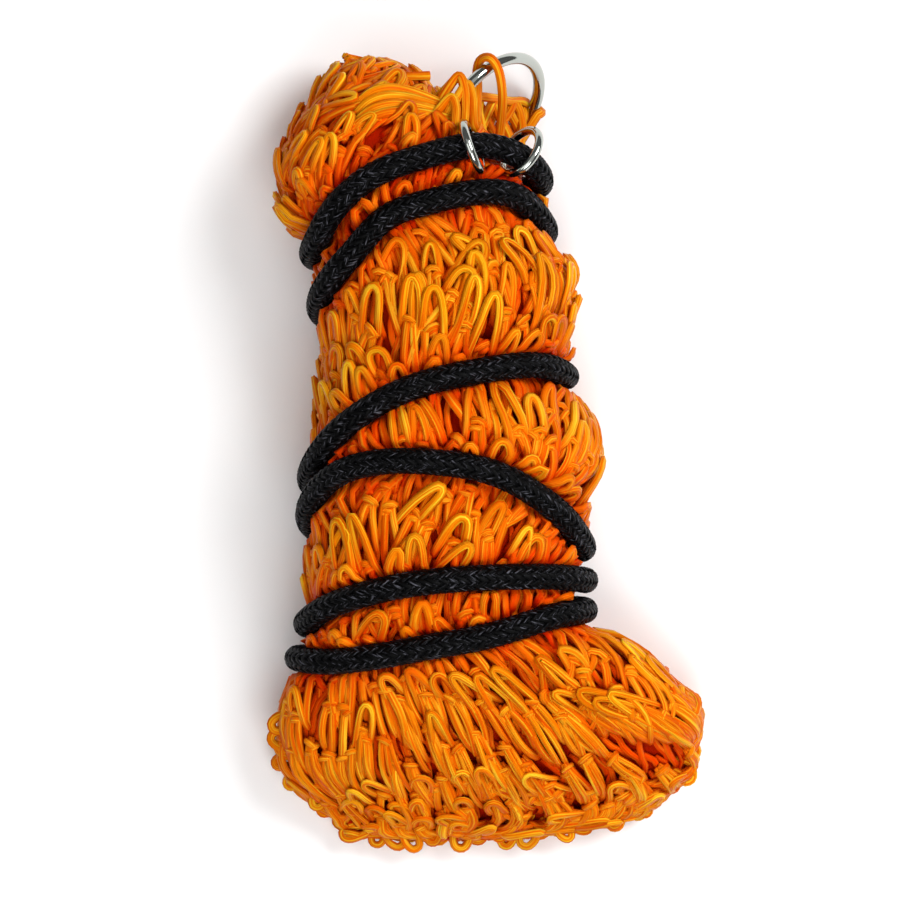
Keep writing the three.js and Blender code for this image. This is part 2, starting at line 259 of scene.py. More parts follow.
# The slack bundle of strands left of the ring, which comes up out of the head and goes over the wire.
RING_BUNDLE = (
    (
        (-21.0, 123.5, 48.0), (-16.5, 131.5, 49.0), (-11.8, 137.6, 48.6), (-9.6, 133.0, 50.0),
        (-9.2, 126.0, 51.5), (-9.6, 118.0, 55.0), (-9.8, 111.0, 56.0),
    ),
    (
        (-17.0, 121.0, 51.0), (-13.2, 128.0, 52.0), (-8.6, 134.6, 48.6), (-6.6, 130.0, 49.5),
        (-6.2, 124.0, 51.0), (-6.0, 117.0, 54.0), (-6.0, 110.0, 55.0),
    ),
    (
        (-24.0, 119.0, 52.0), (-19.0, 125.0, 52.5), (-14.5, 129.5, 52.5), (-12.6, 125.5, 53.5),
        (-12.9, 118.5, 56.0), (-13.0, 111.0, 57.0),
    ),
)
# Long strands that sweep over the head and draw together at the ring, each a step from the last at its
# start and at its end, and a cut end that stands out of the head.
HEAD_SWEEP = (
    (-49.0, 126.5, 54.0), (-44.0, 131.0, 55.0), (-38.0, 132.8, 54.0), (-32.0, 132.4, 52.0),
    (-26.0, 130.8, 50.4), (-20.0, 128.4, 49.4), (-14.5, 125.6, 49.0), (-9.5, 120.5, 51.0),
)
HEAD_SWEEP_STRANDS = 4
HEAD_SWEEP_STEPS = ((-0.6, -3.7, 1.3), (1.5, -1.5, 0.9))
CUT_END = ((-37.0, 136.0, 45.0), (-31.0, 137.6, 43.5), (-26.0, 138.0, 42.0), (-22.0, 138.2, 41.5))


def linear(hex_colour):
    """Turns an sRGB hex colour into linear red, green and blue."""
    channels = [int(hex_colour[i : i + 2], 16) / 255 for i in (0, 2, 4)]
    return tuple(c / 12.92 if c <= 0.04045 else ((c + 0.055) / 1.055) ** 2.4 for c in channels)


class HayNetSettings(bpy.types.PropertyGroup):
    """Sizes and colours of the net that a user would change."""

    twine_width: FloatProperty(
        name="Twine width", description="Width of the flat twine", default=0.0033, unit="LENGTH"
    )
    twine_thickness: FloatProperty(
        name="Twine thickness", description="Thickness of the flat twine", default=0.0020, unit="LENGTH"
    )
    row_pitch: FloatProperty(
        name="Row pitch", description="Distance between rows of slack meshes", default=0.0135, unit="LENGTH"
    )
    column_pitch: FloatProperty(
        name="Column pitch", description="Distance between meshes in a row", default=0.0112, unit="LENGTH"
    )
    cord_diameter: FloatProperty(
        name="Cord diameter", description="Diameter of the drawcord", default=0.010, unit="LENGTH"
    )
    braid_lay: FloatProperty(
        name="Braid lay", description="Length in which a strand of the braid goes once round", default=0.040,
        unit="LENGTH",
    )
    hanging_ring_outside: FloatProperty(
        name="Hanging ring", description="Outside diameter of the hanging ring", default=0.050, unit="LENGTH"
    )
    hanging_ring_wire: FloatProperty(
        name="Hanging ring wire", description="Wire diameter of the hanging ring", default=0.0044,
        unit="LENGTH",
    )
    cord_ring_outside: FloatProperty(
        name="Cord ring", description="Outside diameter of the cord's rings", default=0.0215, unit="LENGTH"
    )
    cord_ring_wire: FloatProperty(
        name="Cord ring wire", description="Wire diameter of the cord's rings", default=0.0032, unit="LENGTH"
    )
    seed: IntProperty(name="Seed", description="Start of the net's unevenness", default=11)
    twine_colour: FloatVectorProperty(
        name="Twine", description="Main colour of the twine", subtype="COLOR", default=linear("E59108")
    )
    # Painted shade and glow: the colour that twine deep in the bundle is painted in.
    painted_glow_colour: FloatVectorProperty(
        name="Glow", description="Colour of the twine deep in the bundle", subtype="COLOR",
        default=linear("DE2400"),
    )
    cord_colour: FloatVectorProperty(
        name="Cord", description="Main colour of the drawcord", subtype="COLOR", default=linear("050506")
    )
    ring_colour: FloatVectorProperty(
        name="Ring", description="Colour of the bright plating", subtype="COLOR", default=linear("B0B4AE")
    )


def settings():
    """The scene's sizes and colours of the net."""
    return bpy.context.scene.hay_net


def unit(vectors):
    """Scales vectors to a length of one."""
    return vectors / np.maximum(np.linalg.norm(vectors, axis=-1, keepdims=True), 1e-9)


def smooth_curve(rows):
    """Returns the smooth curve through rows of numbers that the part's source uses too."""
    table = np.array(rows, float)
    at, values = table[:, 0], table[:, 1:]
    last = len(at) - 1

    def value(t):
        t = np.clip(np.asarray(t, float), at[0], at[-1])
        right = np.clip(np.searchsorted(at, t, side="right"), 1, last)
        left = right - 1
        before = np.where(left == 0, right, left - 1)
        after = np.where(right == last, left, np.minimum(right + 1, last))
        span = at[right] - at[left]
        pull = 0.5 * span / (at[left] - at[before])
        push = 0.5 * span / (at[after] - at[right])
        p = (t - at[left]) / span
        weights = (
            (before, -pull * p**3 + 2 * pull * p**2 - pull * p),
            (left, (1 + pull) * p**3 - (1.5 + 2 * pull) * p**2 + (pull - 0.5) * p + 1),
            (right, -(1 + push) * p**3 + (1.5 + push) * p**2 + 0.5 * p),
            (after, push * p**3 - push * p**2),
        )
        return sum(weight[..., None] * values[index] for index, weight in weights)

    return value


section_curve = smooth_curve(SECTIONS[::-1])


def mean_surface(y, angle):
    """Points of the bundle's mean surface and the ways out of it there.

    The angles start at the right side and go over the crown.
    """
    y, angle = np.broadcast_arrays(np.asarray(y, float), np.asarray(angle, float))
    left, right, keel, crown = np.moveaxis(section_curve(y), -1, 0)
    half = (right - left) / 2
    widest = keel + WIDEST_SHARE * (crown - keel)
    rise = np.where(np.sin(angle) > 0, crown - widest, widest - keel)
    x = (left + right) / 2 + half * np.sign(np.cos(angle)) * np.abs(np.cos(angle)) ** SIDE_ROUNDNESS
    z = widest + rise * np.sign(np.sin(angle)) * np.abs(np.sin(angle)) ** CROWN_ROUNDNESS
    out = np.stack([np.cos(angle) / half, np.zeros_like(x), 2 * np.sin(angle) / (crown - keel)], axis=-1)
    return np.stack([x, y, z], axis=-1), unit(out)


SETTLE_HEIGHT = 8.0
SETTLE_FLOOR = 1.4


def settle(points):
    """Presses soft net flat on the table: what would lie lower than a little above it is squeezed up."""
    points = points.copy()
    depth = SETTLE_HEIGHT - SETTLE_FLOOR
    squeezed = SETTLE_FLOOR + depth * np.exp(np.minimum(points[..., 2] - SETTLE_HEIGHT, 0) / depth)
    points[..., 2] = np.where(points[..., 2] < SETTLE_HEIGHT, squeezed, points[..., 2])
    return points


def smoothed(points, passes):
    """Evens out a line of points without moving its ends."""
    points = points.copy()
    for _ in range(passes):
        points[1:-1] = (points[:-2] + 2 * points[1:-1] + points[2:]) / 4
    return points


class Skin:
    """The bundle's mean surface, measured out by distance from the head and by share of the way round.

    The share is 0 at the crown and grows to the right side, so that half is the middle of the underside.
    """

    ROWS = 601
    COLUMNS = 720
    END_EASE = 0.75
    ACROSS_STEP = 4

    def __init__(self):
        share = np.linspace(0, 1, self.ROWS)
        eased = share - self.END_EASE * np.sin(2 * math.pi * share) / (2 * math.pi)
        y = HEAD_Y + (SKIRT_Y - HEAD_Y) * eased
        angle = np.radians(90 - np.linspace(0, 360, self.COLUMNS + 1))
        points = settle(mean_surface(y[:, None], angle[None, :])[0])
        around = np.linalg.norm(np.diff(points, axis=1), axis=2)
        around = np.concatenate([np.zeros((self.ROWS, 1)), np.cumsum(around, axis=1)], axis=1)
        even = np.linspace(0, 1, self.COLUMNS + 1)
        for row in range(self.ROWS):
            for axis in range(3):
                points[row, :, axis] = np.interp(even * around[row, -1], around[row], points[row, :, axis])
        step = np.linalg.norm(np.diff(points, axis=0), axis=2).mean(axis=1)
        distance = np.concatenate([[0], np.cumsum(step)])
        self.length = distance[-1]
        self.down = np.linspace(0, self.length, int(self.length) + 1)
        place = np.interp(self.down, distance, np.arange(self.ROWS))
        low = np.minimum(place.astype(int), self.ROWS - 2)
        part = (place - low)[:, None, None]
        self.points = points[low] * (1 - part) + points[low + 1] * part
        self.y = np.interp(self.down, distance, y)
        self.around = np.interp(self.down, distance, around[:, -1])
        along = np.gradient(self.points, axis=0)
        open_rows = self.points[:, :-1]
        ahead = np.roll(open_rows, -self.ACROSS_STEP, axis=1)
        across = ahead - np.roll(open_rows, self.ACROSS_STEP, axis=1)
        across = np.concatenate([across, across[:, :1]], axis=1)
        self.out = unit(np.cross(along, across))

    def down_at(self, y):
        """Distance from the head at which the bundle's sections reach y."""
        return np.interp(-np.asarray(y, float), -self.y, self.down)

    def around_at(self, down):
        """Length of the way round the bundle at distances from the head."""
        return np.interp(down, self.down, self.around)

    def at(self, down, share):
        """Points on the surface and the ways out of it."""
        row = np.clip(down, 0, len(self.down) - 1.001)
        column = (np.asarray(share) % 1.0) * self.COLUMNS
        r, c = row.astype(int), column.astype(int)
        fr, fc = (row - r)[..., None], (column - c)[..., None]
        found = []
        for grid in (self.points, self.out):
            upper = grid[r, c] * (1 - fc) + grid[r, c + 1] * fc
            lower = grid[r + 1, c] * (1 - fc) + grid[r + 1, c + 1] * fc
            found.append(upper * (1 - fr) + lower * fr)
        return found[0], unit(found[1])


skin = Skin()

cord_curve = smooth_curve(
    [CORD_START]
    + [(turn * 360 + a, y) for turn, row in enumerate(CORD_TURNS) for a, y in zip(CORD_TURN_ANGLES, row)]
    + [CORD_END]
)


def cord_point(degrees):
    """The cord's centre at angles round the bundle, and the way out of the bundle there.

    Above the bundle's sides it lies on the net, below them it bends in and runs flat along the table.
    """
    degrees = np.asarray(degrees, float)
    y = cord_curve(degrees)[..., 0]
    left, right, keel, crown = np.moveaxis(section_curve(y), -1, 0)
    rise = CORD_RISE + RING_LIFT * np.exp(-(((degrees - RING_LIFT_ANGLE) / RING_LIFT_SPREAD) ** 2))
    floor = settings().cord_diameter / MM / 2 + CORD_FLOOR_GAP
    bend = np.maximum(keel + WIDEST_SHARE * (crown - keel) - floor, CORD_BEND)
    upper, out = mean_surface(y, np.radians(degrees))
    upper = upper + out * rise[..., None]
    upper[..., 2] = np.maximum(upper[..., 2], floor + bend)
    sideways = (degrees % 360 - 270) / 90
    corner = math.pi * np.maximum(np.abs(sideways) - 0.5, 0)
    flat_run = np.minimum(2 * np.abs(sideways), 1) * ((right - left) / 2 + rise - bend)
    x = (left + right) / 2 + np.sign(sideways) * (flat_run + bend * np.sin(corner))
    lower = np.stack([x, y, floor + bend * (1 - np.cos(corner))], axis=-1)
    turned_in = np.stack([np.sign(sideways) * np.sin(corner), np.zeros_like(x), -np.cos(corner)], axis=-1)
    above = (degrees % 360 <= 180)[..., None]
    return np.where(above, upper, lower), np.where(above, out, turned_in)


class CordRoute:
    """The drawcord's centre line at even steps, with its direction and the way out of the bundle."""

    STEP = 1.4
    ANGLE_STEP = 2.0
    FIRST_SMOOTHING = 6
    LAST_SMOOTHING = 24

    def __init__(self):
        degrees = np.arange(CORD_START[0], CORD_END[0] + self.ANGLE_STEP / 2, self.ANGLE_STEP)
        points, out = cord_point(degrees)
        points = smoothed(points, self.FIRST_SMOOTHING)
        distance = np.concatenate([[0], np.cumsum(np.linalg.norm(np.diff(points, axis=0), axis=1))])
        self.length = distance[-1]
        even = np.linspace(0, self.length, int(self.length / self.STEP) + 1)
        self.centre = np.stack([np.interp(even, distance, points[:, i]) for i in range(3)], axis=1)
        self.centre = smoothed(self.centre, self.LAST_SMOOTHING)
        self.distance = even
        self.along = unit(np.gradient(self.centre, axis=0))
        out = np.stack([np.interp(even, distance, out[:, i]) for i in range(3)], axis=1)
        self.out = unit(out - (out * self.along).sum(1, keepdims=True) * self.along)
        self.side = np.cross(self.along, self.out)


def ring_poses():
    """Centre, axis, middle radius and wire radius of each ring, in millimetres."""
    size = settings()
    turn = Matrix.Rotation(math.radians(HANGING_RING_SWING), 3, "Z")
    lean = Matrix.Rotation(math.radians(HANGING_RING_LEAN), 3, "X")
    wire = size.hanging_ring_wire / MM / 2
    outside = size.hanging_ring_outside / MM / 2
    axis = turn @ lean @ Vector((0, 0, 1))
    poses = {"hanging_ring": (HANGING_RING_PLACE, axis, outside - wire, wire)}
    wire = size.cord_ring_wire / MM / 2
    outside = size.cord_ring_outside / MM / 2
    for name, angle, lean, swing, up in CORD_RINGS:
        (before, centre, after), outs = cord_point([angle - 1, angle, angle + 1])
        along = Vector(after - before).normalized()
        across = Vector(outs[1]).cross(along).normalized()
        axis = Quaternion(outs[1], math.radians(swing)) @ Quaternion(across, math.radians(lean)) @ along
        poses[name] = (Vector(centre) + Vector((0, up, 0)), axis, outside - wire, wire)
    return poses


# How the cord presses the net in, in millimetres: the width and rise of the groove's edge, the net's top
# and base as seen from the cord's centre, and the reach along the cord.
GROOVE_EDGE = 2.5
GROOVE_SLOPE = 5.0
NET_TOP = 2.6
NET_BASE = -10.0
GROOVE_REACH = 4.0
# Room under the twine above the table, and how many points are worked on at a time.
TABLE_GAP = 0.6
CHUNK = 4000


def nearest_on_route(route, points):
    """Index of the route's point that is nearest to each point."""
    square = (route.centre**2).sum(1)
    parts = [points[start : start + CHUNK] for start in range(0, len(points), CHUNK)]
    return np.concatenate([(square - 2 * part @ route.centre.T).argmin(1) for part in parts])


def give_way(points, half):
    """Moves twine that is half thick out from under the cord, out of the rings and up off the table."""
    route = CordRoute()
    flat = points.reshape(-1, 3).copy()
    clear = settings().cord_diameter / MM / 2 + half
    nearest = nearest_on_route(route, flat)
    away = flat - route.centre[nearest]
    out, along = route.out[nearest], route.along[nearest]
    rise = (away * out).sum(1)
    run = (away * along).sum(1)
    beside = np.sqrt(np.maximum((away**2).sum(1) - rise**2 - run**2, 0))
    under = -np.sqrt(np.maximum(clear**2 - beside**2, 0))
    top = np.where(beside < clear, under, (beside - clear) / GROOVE_EDGE * GROOVE_SLOPE)
    squeezed = NET_BASE + (rise - NET_BASE) * (top - NET_BASE) / (NET_TOP - NET_BASE)
    target = np.where(beside < clear, np.minimum(squeezed, top), top)
    near = (beside < clear + GROOVE_EDGE) & (np.abs(run) < GROOVE_REACH) & (rise > NET_BASE)
    press = np.where(near, np.maximum(rise - target, 0), 0)
    flat -= press[:, None] * out
    for centre, axis, radius, wire in ring_poses().values():
        centre, axis = np.array(centre), np.array(axis)
        away = flat - centre
        lift = (away @ axis)[:, None] * axis
        middle = centre + radius * unit(away - lift)
        off = flat - middle
        close = np.linalg.norm(off, axis=1) < wire + half
        flat[close] = middle[close] + unit(off[close]) * (wire + half)
    flat[:, 2] = np.maximum(flat[:, 2], half + TABLE_GAP)
    return flat.reshape(points.shape)


# Painted shade beside the cord: how much deeper twine at the cord counts as lying, and how fast that fades
# with distance, in millimetres.
CORD_SHADE_DEPTH = 6.5
CORD_SHADE_REACH = 5.5


def painted_cord_shade(points):
    """How much deeper in the bundle twine counts as lying near the cord, in millimetres: a painted shade
    beside the cord, which only darkens and reddens the twine's colour there.
    """
    route = CordRoute()
    flat = points.reshape(-1, 3)
    away = np.linalg.norm(flat - route.centre[nearest_on_route(route, flat)], axis=1)
    gap = np.maximum(away - settings().cord_diameter / MM / 2, 0)
    return CORD_SHADE_DEPTH * np.exp(-gap / CORD_SHADE_REACH).reshape(points.shape[:-1])


def along_spline(controls, count):
    """Even samples of smooth curves through their control points, one curve for each row."""
    controls = np.asarray(controls, float)
    last = controls.shape[1] - 1
    padded = np.concatenate(
        [2 * controls[:, :1] - controls[:, 1:2], controls, 2 * controls[:, -1:] - controls[:, -2:-1]], axis=1
    )
    t = np.linspace(0, last, count)
    i = np.minimum(t.astype(int), last - 1)
    p = (t - i)[None, :, None]
    a, b, c, d = (padded[:, i + k] for k in range(4))
    return 0.5 * (2 * b + (c - a) * p + (2 * a - 5 * b + 4 * c - d) * p**2 + (3 * b - a - 3 * c + d) * p**3)


NET_SINK = 1.9


def lay_on_skin(down, share, lean, local):
    """Lays local curves of across, down and out on the bundle, each turned by its lean in degrees."""
    lean = np.radians(lean)[:, None]
    across = local[..., 0] * np.cos(lean) - local[..., 1] * np.sin(lean)
    along = local[..., 0] * np.sin(lean) + local[..., 1] * np.cos(lean)
    shares = share[:, None] + across / skin.around_at(down)[:, None]
    points, out = skin.at(down[:, None] + along, shares)
    return points + out * (local[..., 2:3] - NET_SINK), out


LOBES = 5
LOBE_DEPTH = 0.15


def twine_profile(sides):
    """The flat twine's outline, with the ridges of its filaments where there are points enough for them."""
    angle = 2 * math.pi * (np.arange(sides) + 0.5) / sides - math.pi / 2
    ridge = 1 + LOBE_DEPTH * np.cos(LOBES * angle) if sides >= 2 * LOBES else np.ones(sides)
    return np.stack([np.cos(angle) * ridge, np.sin(angle) * ridge], axis=1)


END_TAPER = 0.55
TABLE_CONTACT = 0.1
# The twine's height layer: the material paints deeper twine darker and redder by it, as painted shade and
# glow.
HEIGHT_LAYER = "height"


def sweep(name, paths, outs, width, thickness, sides, material, first_strand=0, heights=0.0, twist=0.0):
    """Makes one mesh of many strands along paths in millimetres, with a UV map: round by length.

    The heights, of the paths above the bundle's mean surface where they are known, less any painted shade
    beside the cord, set the twine's painted depth shade and glow; the twist turns the strands about their
    paths, in radians. An edge that would pass through the table is pressed flat on it.
    """
    strands, count = paths.shape[:2]
    tangent = unit(np.gradient(paths, axis=1))
    level = unit(np.cross(tangent, outs))
    upright = np.cross(level, tangent)
    twist = np.broadcast_to(twist, (strands, count))[..., None]
    side = level * np.cos(twist) + upright * np.sin(twist)
    up = upright * np.cos(twist) - level * np.sin(twist)
    profile = twine_profile(sides)
    taper = np.ones(count)
    taper[[0, -1]] = END_TAPER
    half_width = np.broadcast_to(width, (strands,))[:, None] / 2 * taper
    half_thickness = np.broadcast_to(thickness, (strands,))[:, None] / 2 * taper
    ring = (
        paths[:, :, None]
        + side[:, :, None] * (half_width[:, :, None] * profile[:, 0])[..., None]
        + up[:, :, None] * (half_thickness[:, :, None] * profile[:, 1])[..., None]
    )
    ring[..., 2] = np.maximum(ring[..., 2], TABLE_CONTACT)
    index = np.arange(strands * count * sides).reshape(strands, count, sides)
    following = np.roll(index, -1, axis=2)
    walls = np.stack([index[:, :-1], index[:, 1:], following[:, 1:], following[:, :-1]], axis=-1)
    j = np.arange(sides // 2 - 1)
    cap = np.stack([j, j + 1, sides - 2 - j, sides - 1 - j], axis=1)
    starts = index[:, 0][:, cap]
    ends = index[:, -1][:, cap[:, ::-1]]
    faces = np.concatenate([walls.reshape(-1, 4), starts.reshape(-1, 4), ends.reshape(-1, 4)])
    lengths = np.linalg.norm(np.diff(paths, axis=1), axis=2)
    lengths = np.concatenate([np.zeros((strands, 1)), np.cumsum(lengths, axis=1)], axis=1)
    number = first_strand + np.arange(strands)[:, None, None]
    turn = np.arange(sides + 1) / sides
    u = np.broadcast_to(turn[:sides] + number, index.shape).ravel()
    v = np.broadcast_to(lengths[:, :, None] * MM, index.shape).ravel()
    uv = np.stack([u[faces], v[faces]], axis=-1)
    wall_u = np.stack([turn[:-1], turn[:-1], turn[1:], turn[1:]], axis=1)
    wall_count = strands * (count - 1) * sides
    uv[:wall_count, :, 0] = (wall_u[None, None] + number[..., None]).repeat(count - 1, 1).reshape(-1, 4)
    heights = np.broadcast_to(heights, (strands, count))[:, :, None]
    heights = heights + half_thickness[:, :, None] * profile[:, 1]
    return mesh_piece(name, ring.reshape(-1, 3), faces, uv, material, heights.ravel())


def mesh_piece(name, points, faces, uv, material, heights):
    """Makes a smooth mesh object of four-sided faces from points and heights in millimetres."""
    mesh = bpy.data.meshes.new(name)
    mesh.vertices.add(len(points))
    mesh.vertices.foreach_set("co", (points * MM).astype(np.float32).ravel())
    mesh.loops.add(faces.size)
    mesh.loops.foreach_set("vertex_index", faces.astype(np.int32).ravel())
    mesh.polygons.add(len(faces))
    mesh.polygons.foreach_set("loop_start", np.arange(0, faces.size, 4, dtype=np.int32))
    mesh.update(calc_edges=True)
    layer = mesh.uv_layers.new(name="strand")
    layer.data.foreach_set("uv", uv.astype(np.float32).ravel())
    # The height layer carries the painted depth shade and glow of the twine's material.
    above = mesh.attributes.new(HEIGHT_LAYER, "FLOAT", "POINT")
    above.data.foreach_set("value", (heights * MM).astype(np.float32))
    mesh.polygons.foreach_set("use_smooth", np.ones(len(faces), dtype=bool))
    mesh.materials.append(material)
    if mesh.validate():
        raise RuntimeError(f"{name} has faces that Blender had to mend")
    piece = bpy.data.objects.new(name, mesh)
    bpy.context.scene.collection.objects.link(piece)
    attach(piece, "root")
    return piece


def net_piece(piece):
    """Hides the net's solid, in whose place the piece stands."""
    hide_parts("net")


def lean_at(down, share):
    """The lean of the strands at places on the bundle, in degrees, up to the right as seen from outside."""
    points, out = skin.at(down, share)
    x, y = points[:, 0], points[:, 1]
    at, *leans = np.array(LEANS).T
    left, crown, right = (np.interp(y, at, lean) for lean in leans)
    quarter = 4 * ((share + 0.5) % 1.0 - 0.5)
    sideways = np.sign(quarter) * np.minimum(np.abs(quarter), 2 - np.abs(quarter))
    straight = crown + np.abs(sideways) * (np.where(sideways > 0, right, left) - crown)
    fan = -np.degrees(np.arctan2(x - FAN_CENTRE[0], np.maximum(FAN_CENTRE[1] - y, 1)))
    fan = np.clip(fan, *FAN_LEAN) * np.sign(out[:, 2])
    share_of_fan = np.clip((FAN_Y[0] - y) / (FAN_Y[0] - FAN_Y[1]), 0, 1)
    return straight + share_of_fan * (fan - straight)


# Waves in the strands' lean: degrees, waves round the bundle, waves in a millimetre down it, and start.
LEAN_WAVES = ((12, 2, 0.011, 0.7), (8, 5, -0.019, 2.1))


def lean_noise(down, share):
    """A slow unevenness of the strands' lean over the bundle, in degrees."""
    return sum(
        most * np.sin(2 * math.pi * (around * share + along * down) + start)
        for most, around, along, start in LEAN_WAVES
    )


# How far meshes stray along their row and across it, as shares of the pitches.
COLUMN_STRAY = 0.28
ROW_STRAY = 0.34
FEWEST_IN_ROW = 5


def mesh_places(first_y, last_y, row_pitch, column_pitch, draw):
    """Staggered places of the net's meshes on the bundle: distances from the head and shares round it."""
    down, share = [], []
    for row, start in enumerate(np.arange(skin.down_at(first_y), skin.down_at(last_y), row_pitch)):
        count = max(FEWEST_IN_ROW, int(round(skin.around_at(start) / column_pitch)))
        column = np.arange(count) + (row % 2) / 2 + draw.uniform(-COLUMN_STRAY, COLUMN_STRAY, count)
        share.append(column / count)
        down.append(start + draw.normal(0, ROW_STRAY * row_pitch, count))
    return np.concatenate(down), np.concatenate(share)


# Sockets of the Mix node for colours, by number because those for numbers have the same names.
MIX_FACTOR, MIX_A, MIX_B = 0, 6, 7
MIX_RESULT = 2


def add_node(material, kind, inputs=None, **values):
    """Adds a node with its settings, and links or sets its inputs."""
    node = material.node_tree.nodes.new(kind)
    for name, value in values.items():
        setattr(node, name, value)
    for name, value in (inputs or {}).items():
        if isinstance(value, bpy.types.NodeSocket):
            material.node_tree.links.new(value, node.inputs[name])
        else:
            node.inputs[name].default_value = value
    return node


def new_material(name):
    """Returns a material, and its shader where it is new."""
    material = bpy.data.materials.get(name)
    if material:
        return material, None
    material = bpy.data.materials.new(name)
    material.use_nodes = True
    return material, material.node_tree.nodes["Principled BSDF"]


def shade(colour, factors):
    """A colour made lighter or darker, in all its channels or in each by its own factor."""
    return (*np.minimum(np.multiply(colour, factors), 1.0), 1.0)


def polyethylene_twine():
    """Flat twine of a few glossy polyethylene monofilaments: streaks along it, partly the filaments' own
    tone and partly painted highlights, and a painted warm glow between.

    Deep in the bundle, and beside the cord, the twine is painted redder and darker: painted shade and glow
    that stand in for light that has passed other twine first.
    """
    material, shader = new_material("polyethylene_twine")
    if shader is None:
        return material
    colour = settings().twine_colour
    uv = add_node(material, "ShaderNodeUVMap", uv_map="strand")
    # Each filament that the twine's outline shows gets a few streaks.
    streaks_a_filament, streak_length = 3, 0.030
    fine = add_node(
        material, "ShaderNodeMapping",
        {"Vector": uv.outputs["UV"], "Scale": (streaks_a_filament * LOBES, 1 / streak_length, 1)},
    )
    streak = add_node(
        material, "ShaderNodeTexNoise", {"Vector": fine.outputs["Vector"], "Scale": 1.0, "Detail": 2.0},
        noise_dimensions="2D",
    )
    tones_a_strand, tone_length = 0.61, 0.045
    slow = add_node(
        material, "ShaderNodeMapping",
        {"Vector": uv.outputs["UV"], "Scale": (tones_a_strand, 1 / tone_length, 1)},
    )
    tone = add_node(
        material, "ShaderNodeTexNoise", {"Vector": slow.outputs["Vector"], "Scale": 1.0, "Detail": 1.0},
        noise_dimensions="2D",
    )
    # The streaks are partly the filaments' own tone: their light, yellow end is a painted highlight and
    # their dark, redder end painted shade between the filaments.
    ramp = add_node(material, "ShaderNodeValToRGB", {"Fac": streak.outputs["Fac"]})
    ramp.color_ramp.elements[0].position = 0.30
    ramp.color_ramp.elements[0].color = shade(colour, (0.88, 0.42, 0.35))
    ramp.color_ramp.elements[1].position = 0.69
    ramp.color_ramp.elements[1].color = shade(colour, (1.14, 2.25, 12.0))
    ramp.color_ramp.elements.new(0.52).color = shade(colour, 1)
    tones = add_node(material, "ShaderNodeValToRGB", {"Fac": tone.outputs["Fac"]})
    tones.color_ramp.elements[0].position = 0.28
    tones.color_ramp.elements[0].color = (*linear("E7C8AA"), 1)
    tones.color_ramp.elements[1].position = 0.70
    tones.color_ramp.elements[1].color = (*linear("FFFFFF"), 1)
    # Painted shade and glow by depth: the lower the twine's height layer, the more its colour is blended
    # towards the painted glow colour.
    height = add_node(material, "ShaderNodeAttribute", attribute_name=HEIGHT_LAYER)
    deep, top = -0.0035, 0.0052
    rise = add_node(
        material, "ShaderNodeMapRange", {"Value": height.outputs["Fac"], "From Min": deep, "From Max": top}
    )
    mixed = add_node(
        material, "ShaderNodeMix",
        {MIX_FACTOR: 1.0, MIX_A: ramp.outputs["Color"], MIX_B: tones.outputs["Color"]},
        data_type="RGBA", blend_type="MULTIPLY",
    )
    # Painted shade in the hollows: the painted glow is darkened to about half on the deepest twine.
    hollow_floor, hollow_edge = -0.0055, -0.0010
    hollow_painted_shade = add_node(
        material, "ShaderNodeMapRange",
        {"Value": height.outputs["Fac"], "From Min": hollow_floor, "From Max": hollow_edge, "To Min": 0.54},
    )
    painted_glow = add_node(
        material, "ShaderNodeMix",
        {MIX_FACTOR: 1.0, MIX_A: (*settings().painted_glow_colour, 1), MIX_B: hollow_painted_shade.outputs["Result"]},
        data_type="RGBA", blend_type="MULTIPLY",
    )
    depth_painted_shade = add_node(
        material, "ShaderNodeMix",
        {
            MIX_FACTOR: rise.outputs["Result"],
            MIX_A: painted_glow.outputs[MIX_RESULT],
            MIX_B: mixed.outputs[MIX_RESULT],
        },
        data_type="RGBA",
    )
    rough = add_node(
        material, "ShaderNodeMapRange", {"Value": streak.outputs["Fac"], "To Min": 0.30, "To Max": 0.46}
    )
    ridge = add_node(
        material, "ShaderNodeBump", {"Height": streak.outputs["Fac"], "Strength": 0.55, "Distance": 0.0006}
    )
    links = material.node_tree.links
    links.new(depth_painted_shade.outputs[MIX_RESULT], shader.inputs["Base Color"])
    links.new(rough.outputs["Result"], shader.inputs["Roughness"])
    links.new(ridge.outputs["Normal"], shader.inputs["Normal"])
    shader.inputs["IOR"].default_value = 1.5
    shader.inputs["Specular IOR Level"].default_value = 0.08
    shader.inputs["Specular Tint"].default_value = (*linear("FFC85A"), 1)
    return material


